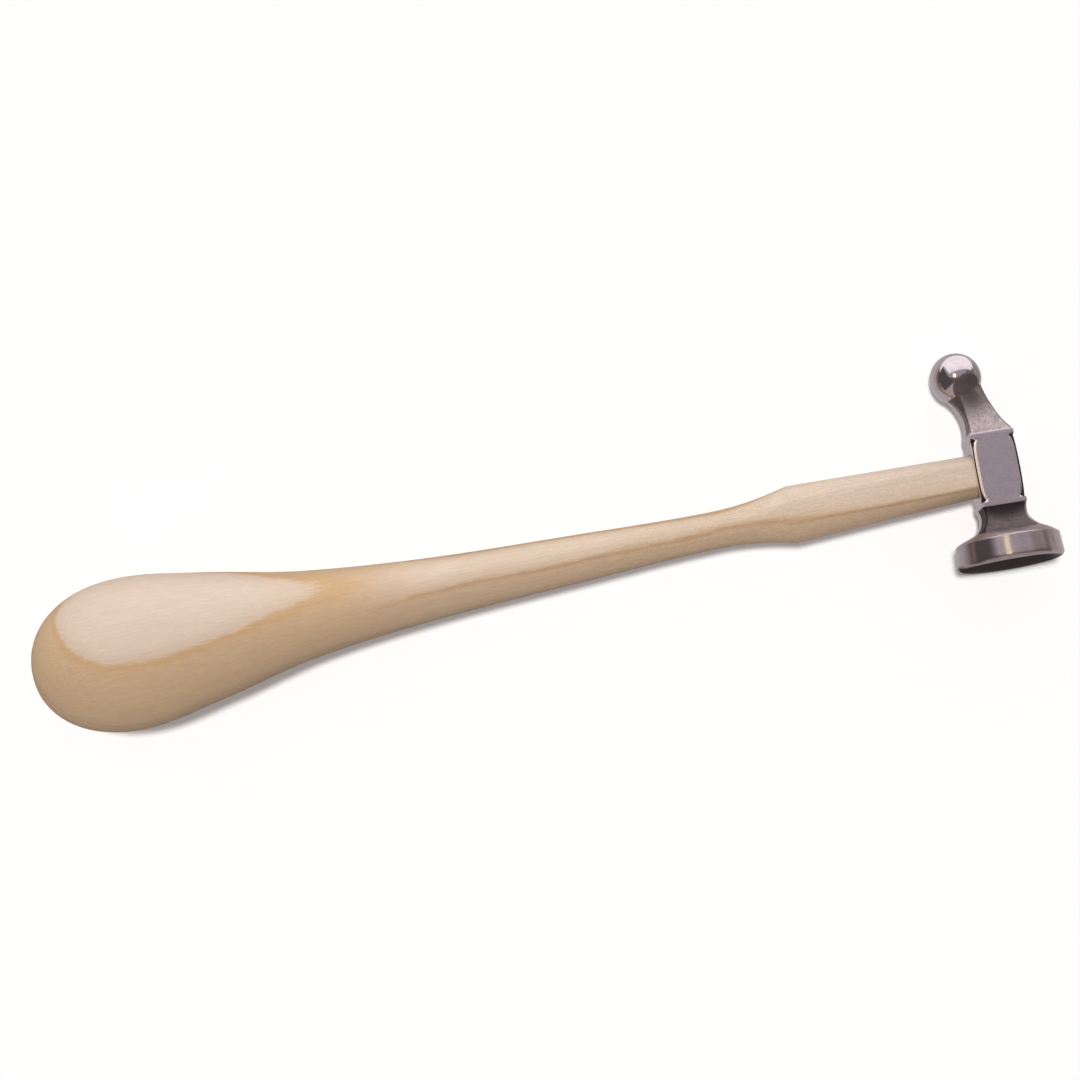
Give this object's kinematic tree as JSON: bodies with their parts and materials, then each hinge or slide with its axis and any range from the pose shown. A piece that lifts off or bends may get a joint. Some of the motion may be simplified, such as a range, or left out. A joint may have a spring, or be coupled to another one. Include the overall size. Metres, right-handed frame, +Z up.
{
  "type": "chasing hammer",
  "caption": "Chasing hammer: turned steel head with a domed round face and a leaning ball peen, wedged on a maple handle that swells to a palm bulb.",
  "frame": {"origin": "on the bench under the middle of the tool's box, the tool lying on its side on the disc's back edge, the ball and the palm bulb", "axes": "+X along the handle from the butt to the head, +Y towards the ball peen, +Z up out of the bench"},
  "size_m": [0.2575, 0.0565, 0.0267],
  "materials": {
    "polished_steel": "satin cheeks, polished ball and rim",
    "maple": "smooth, sealed, fine grain",
    "wedge_wood": "sawn end grain",
    "wedge_steel": "driven and filed"
  },
  "bodies": {
    "root": {"hammer_head": "polished_steel", "handle": "maple", "wooden_wedge": "wedge_wood", "steel_wedge": "wedge_steel"}
  },
  "joints": []
}
